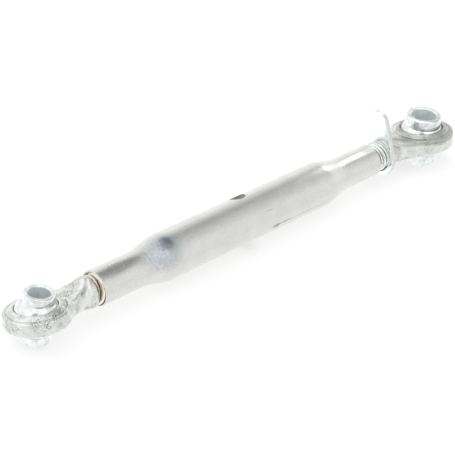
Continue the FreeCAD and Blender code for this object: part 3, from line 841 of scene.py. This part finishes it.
def dress_plate(plate):
    """Bright faces, and a sheared edge all round."""
    dress(plate, pressed, sheared)
    for face in plate.data.polygons:
        off_axis = math.hypot(face.center.y, face.center.z) / MM
        on_edge = abs(face.normal.x) < 0.8 and off_axis > THREAD_CREST + COUNTERSINK + 0.5
        face.material_index = 1 if on_edge else 0


# ---------------------------------------------------------------------------------------------
# Studio

FLOOR_ALBEDO = "#F4F4F4"
FLOOR_GLOW = 1.2
FLOOR_LIFT = 0.5
MIRRORED_LIFT = 0.8
MIRRORED_FRONT = 1.0
MIRRORED_BACK = 1.25

# The light round the link, by the angle about the link's own line from its far side, in degrees.
BELT = 0.42
BELT_FROM = 20
BELT_MIDDLE = 76
BELT_TO = 150
FAR_SIDE = 1.15
OPEN_SIDE = 1.3
BEYOND_THE_END = 1.1
FIGURE = 0.4
FIGURE_EDGE = 17
FIGURE_CORE = 9

# A small lamp over the large end gives the tube's far neck its bright line.
WINDOW_PLACE = (0.522, 0.036, 0.15)
WINDOW_AIM = (0.40, 0.0, 0.014)
WINDOW_SIZE = 0.10
WINDOW_POWER = 0.036

CAMERA_AZIMUTH = -47.27
CAMERA_ELEVATION = 31.9
CAMERA_ROLL = 4.71
CAMERA_DISTANCE = 1.3415


def towards_camera():
    azimuth = math.radians(CAMERA_AZIMUTH)
    elevation = math.radians(CAMERA_ELEVATION)
    return Vector((math.sin(azimuth) * math.cos(elevation), -math.cos(azimuth) * math.cos(elevation),
                   math.sin(elevation)))


def make_floor(low):
    """A plain white floor; seen directly it is lifted to white, and it keeps the shadow."""
    shape = bmesh.new()
    bmesh.ops.create_grid(shape, x_segments=1, y_segments=1, size=12.0)
    bmesh.ops.translate(shape, verts=shape.verts, vec=(0, 0, low))
    mesh = bpy.data.meshes.new("floor")
    shape.to_mesh(mesh)
    shape.free()
    floor = bpy.data.objects.new("floor", mesh)
    bpy.context.scene.collection.objects.link(floor)
    material = new_material("matt white paper")
    tree = material.node_tree
    where = add(tree, "ShaderNodeTexCoord").outputs["Object"]
    part = add(tree, "ShaderNodeSeparateXYZ", {0: where}).outputs
    path = add(tree, "ShaderNodeLightPath").outputs
    matt = add(tree, "ShaderNodeBsdfDiffuse", {"Color": colour(FLOOR_ALBEDO)})
    mirrored = add(tree, "ShaderNodeMapRange", {"Value": part["Y"], "From Min": -0.08, "From Max": 0.0,
                                                "To Min": MIRRORED_FRONT, "To Max": MIRRORED_BACK})
    strength = add(tree, "ShaderNodeMix", {0: path["Is Camera Ray"], 2: mirrored, 3: FLOOR_GLOW},
                   data_type="FLOAT")
    glow = add(tree, "ShaderNodeEmission", {"Color": colour("#FFFFFF"), "Strength": strength})
    reflected = add(tree, "ShaderNodeMath", {0: path["Is Glossy Ray"], 1: path["Is Transmission Ray"]},
                    operation="ADD", use_clamp=True)
    lifted = add(tree, "ShaderNodeMath", {0: reflected, 1: MIRRORED_LIFT}, operation="MULTIPLY")
    lifted = add(tree, "ShaderNodeMath", {0: path["Is Camera Ray"], 1: FLOOR_LIFT, 2: lifted},
                 operation="MULTIPLY_ADD")
    both = add(tree, "ShaderNodeMixShader", {0: lifted, 1: matt, 2: glow})
    add(tree, "ShaderNodeOutputMaterial", {"Surface": both})
    mesh.materials.append(material)


def make_world():
    """White low down, a soft grey belt overhead, open light at the near end, and one dim figure in it."""
    world = bpy.data.worlds.new("studio")
    bpy.context.scene.world = world
    world.use_nodes = True
    tree = world.node_tree
    tree.nodes.clear()
    where = add(tree, "ShaderNodeTexCoord").outputs["Generated"]
    part = add(tree, "ShaderNodeSeparateXYZ", {0: where}).outputs
    turn = add(tree, "ShaderNodeMath", {0: part["Z"], 1: part["Y"]}, operation="ARCTAN2")
    fall = add(tree, "ShaderNodeMapRange", {
        "Value": turn, "From Min": math.radians(BELT_FROM), "From Max": math.radians(BELT_MIDDLE),
        "To Min": FAR_SIDE, "To Max": BELT}, interpolation_type="SMOOTHSTEP")
    rise = add(tree, "ShaderNodeMapRange", {
        "Value": turn, "From Min": math.radians(BELT_MIDDLE), "From Max": math.radians(BELT_TO),
        "To Min": BELT, "To Max": 1.0})
    belt = add(tree, "ShaderNodeMath", {0: fall, 1: rise}, operation="MAXIMUM")
    open_side = add(tree, "ShaderNodeMapRange", {"Value": part["Z"], "From Max": 0.8, "To Min": 1.0,
                                                 "To Max": OPEN_SIDE})
    near = add(tree, "ShaderNodeMapRange", {"Value": part["X"], "From Min": 0.45, "From Max": 0.18})
    far = add(tree, "ShaderNodeMapRange", {"Value": part["X"], "From Min": 0.76, "From Max": 0.90})
    ended = add(tree, "ShaderNodeMix", {0: far, 2: belt, 3: BEYOND_THE_END}, data_type="FLOAT")
    strength = add(tree, "ShaderNodeMix", {0: near, 2: ended, 3: open_side}, data_type="FLOAT")
    facing = add(tree, "ShaderNodeVectorMath", {0: where, 1: towards_camera()}, operation="DOT_PRODUCT")
    figure = add(tree, "ShaderNodeMapRange", {
        "Value": facing, "From Min": math.cos(math.radians(FIGURE_EDGE)),
        "From Max": math.cos(math.radians(FIGURE_CORE)), "To Min": 1.0, "To Max": FIGURE},
        interpolation_type="SMOOTHSTEP")
    strength = add(tree, "ShaderNodeMath", {0: strength, 1: figure}, operation="MULTIPLY")
    path = add(tree, "ShaderNodeLightPath").outputs
    strength = add(tree, "ShaderNodeMix", {0: path["Is Camera Ray"], 2: strength, 3: 1.0},
                   data_type="FLOAT")
    back = add(tree, "ShaderNodeBackground", {"Color": colour("#FFFFFF"), "Strength": strength})
    add(tree, "ShaderNodeOutputWorld", {"Surface": back})


def make_softbox(name, place, aim, size, power):
    lamp = bpy.data.lights.new(name, "AREA")
    lamp.shape = "DISK"
    lamp.size = size
    lamp.energy = power
    thing = bpy.data.objects.new(name, lamp)
    thing.location = place
    thing.rotation_mode = "QUATERNION"
    thing.rotation_quaternion = (Vector(place) - Vector(aim)).to_track_quat("Z", "Y")
    thing.visible_camera = False
    bpy.context.scene.collection.objects.link(thing)


def make_camera(middle):
    """A long lens, a little above the link and beyond its small end, rolled by a few degrees."""
    azimuth = math.radians(CAMERA_AZIMUTH)
    roll = math.radians(CAMERA_ROLL)
    back = towards_camera()
    right = Vector((math.cos(azimuth), math.sin(azimuth), 0))
    up = back.cross(right)
    across = right * math.cos(roll) + up * math.sin(roll)
    over = up * math.cos(roll) - right * math.sin(roll)
    camera = bpy.data.cameras.new("camera")
    camera.sensor_width = 36.0
    camera.lens = 113.94
    camera.shift_x = -0.0522
    camera.shift_y = -0.0268
    camera.clip_start = 0.05
    camera.clip_end = 60.0
    thing = bpy.data.objects.new("camera", camera)
    frame_axes = Matrix((across, over, back)).transposed().to_4x4()
    thing.matrix_world = Matrix.Translation(middle + back * CAMERA_DISTANCE) @ frame_axes
    bpy.context.scene.collection.objects.link(thing)
    bpy.context.scene.camera = thing


# ---------------------------------------------------------------------------------------------

SMALL_CENTRE = middle_of("cat1_ball")
LARGE_CENTRE = middle_of("cat2_ball")

forged = forged_material()
turned = turned_material()
drawn = drawn_material()
cut = thread_material()
pressed = pressed_material()
sheared = sheared_material()
reamed = bore_material()

dress_ball(make_ball(SMALL_END, "cat1_ball", SMALL_CENTRE), SMALL_END, SMALL_CENTRE)
dress_ball(make_ball(LARGE_END, "cat2_ball", LARGE_CENTRE), LARGE_END, LARGE_CENTRE)
dress(make_eye(SMALL_END, "cat1_eye", "cat1_rod_end", SMALL_CENTRE, 0.0, Vector((3, 1, 7))), forged)
dress(make_eye(LARGE_END, "cat2_eye", "cat2_rod_end", LARGE_CENTRE, math.pi, Vector((11, 5, 2))), forged)
low, high = node_box("cat1_spindle")
dress(make_spindle(SMALL_END, "cat1_spindle", "cat1_rod_end", LEFT_HAND, 25.0, high.x - low.x,
                   Vector((low.x, 0, 0)), 0.0), cut)
low, high = node_box("cat2_spindle")
dress(make_spindle(LARGE_END, "cat2_spindle", "cat2_rod_end", RIGHT_HAND, 0.0, high.x - low.x,
                   Vector((high.x, 0, 0)), math.pi), cut)
dress_plate(make_lock_plate())
dress(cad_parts["centre_tube"], drawn)

make_floor(CAD_BOX[0][2])
make_world()
make_softbox("window", WINDOW_PLACE, WINDOW_AIM, WINDOW_SIZE, WINDOW_POWER)
make_camera((SMALL_CENTRE + LARGE_CENTRE) / 2 * MM)

scene = bpy.context.scene
scene.view_settings.view_transform = "Standard"
